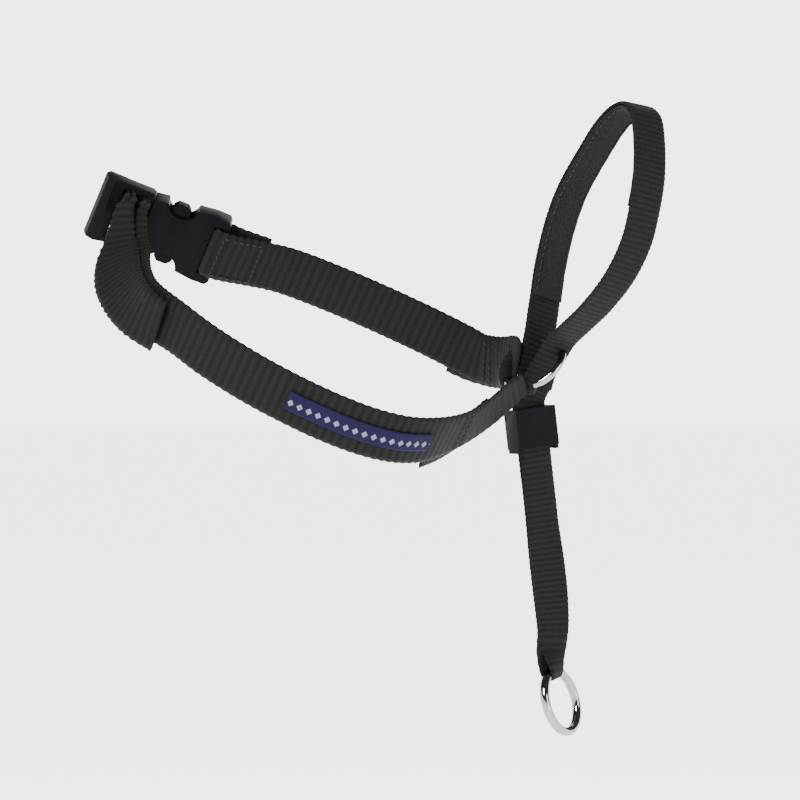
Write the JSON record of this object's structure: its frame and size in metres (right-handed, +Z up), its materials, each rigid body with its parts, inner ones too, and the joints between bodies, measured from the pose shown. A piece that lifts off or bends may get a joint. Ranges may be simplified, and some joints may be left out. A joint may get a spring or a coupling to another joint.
{
  "type": "head halter",
  "caption": "Webbing head halter: neck strap with a side-release buckle, centre ring, lined nose loop, slide clamp on a doubled tail, and a leash ring.",
  "frame": {"origin": "the middle of the neck opening", "axes": "+Z up with the halter hanging as worn, +X towards the muzzle, +Y towards the wearer's left"},
  "size_m": [0.2076, 0.1031, 0.2252],
  "materials": {
    "neck_webbing": "ribbed nylon webbing",
    "nose_webbing": "fine ribbed nylon webbing",
    "lining": "soft brushed lining",
    "label": "woven label without lettering",
    "plastic": "moulded acetal",
    "chrome": "polished"
  },
  "bodies": {
    "collar": {"neck_front_strap": "neck_webbing", "neck_front_fold": "neck_webbing", "front_ring_wrap": "neck_webbing", "neck_back_strap": "neck_webbing", "neck_back_fold": "neck_webbing", "back_ring_wrap": "neck_webbing", "socket_strap_fold": "neck_webbing", "strap_label": "label", "buckle_socket": "plastic", "throat_front_strand": "nose_webbing", "throat_back_strand": "nose_webbing"},
    "tongue": {"tongue_frame": "plastic", "ladder_wrap": "neck_webbing", "strap_turn": "neck_webbing", "strap_tail": "neck_webbing"},
    "upper_prong": {"upper_prong": "plastic"},
    "lower_prong": {"lower_prong": "plastic"},
    "centre_ring": {"centre_ring": "chrome"},
    "nose_loop": {"nose_strap": "nose_webbing", "nose_lining": "lining"},
    "tail": {"tail_front_strand": "nose_webbing", "tail_back_strand": "nose_webbing", "tail_ring_fold": "nose_webbing"},
    "clamp": {"clamp_body": "plastic", "clamp_pin": "plastic"},
    "clamp_lever": {"clamp_lever": "plastic"},
    "leash_ring": {"leash_ring": "chrome"}
  },
  "joints": [
    {"name": "tongue_slide", "type": "slide", "parent": "collar", "child": "tongue", "axis": [-0.9231, -0.1418, 0.3575], "range_m": [0, 0.024], "deforming": ["upper_prong", "lower_prong"]},
    {"name": "upper_prong_press", "type": "hinge", "parent": "tongue", "child": "upper_prong", "pos_m": [-0.05771, 0.02718, 0.04796], "axis": [0.0346, 0.8951, 0.4444], "range_deg": [0, 8], "stiffness_Nm_per_rad": 0.2},
    {"name": "lower_prong_press", "type": "hinge", "parent": "tongue", "child": "lower_prong", "pos_m": [-0.06215, 0.03208, 0.03843], "axis": [-0.0346, -0.8951, -0.4444], "range_deg": [0, 8], "stiffness_Nm_per_rad": 0.2},
    {"name": "centre_ring_turn", "type": "hinge", "parent": "collar", "child": "centre_ring", "pos_m": [0.0775, 0.012, -0.0077], "axis": [-0.4677, -0.5775, 0.6691], "continuous": true},
    {"name": "nose_loop_fold", "type": "hinge", "parent": "collar", "child": "nose_loop", "pos_m": [0.0815, 0.0135, -0.002], "axis": [-0.5, 0.866, 0], "range_deg": [-20, 20]},
    {"name": "tail_swing", "type": "hinge", "parent": "collar", "child": "tail", "pos_m": [0.0755, 0.0118, -0.0178], "axis": [0.866, 0.5, 0], "range_deg": [-30, 30]},
    {"name": "clamp_slide", "type": "slide", "parent": "tail", "child": "clamp", "axis": [0.113, 0.0653, -0.9914], "range_m": [0, 0.022]},
    {"name": "clamp_lever_open", "type": "hinge", "parent": "clamp", "child": "clamp_lever", "pos_m": [0.07463, 0.01486, -0.02584], "axis": [0.8586, 0.4957, 0.1305], "range_deg": [0, 65]},
    {"name": "leash_ring_swing", "type": "hinge", "parent": "tail", "child": "leash_ring", "pos_m": [0.084, 0.0142, -0.1175], "axis": [0.4794, 0.8648, 0.1495], "range_deg": [-50, 50]}
  ]
}
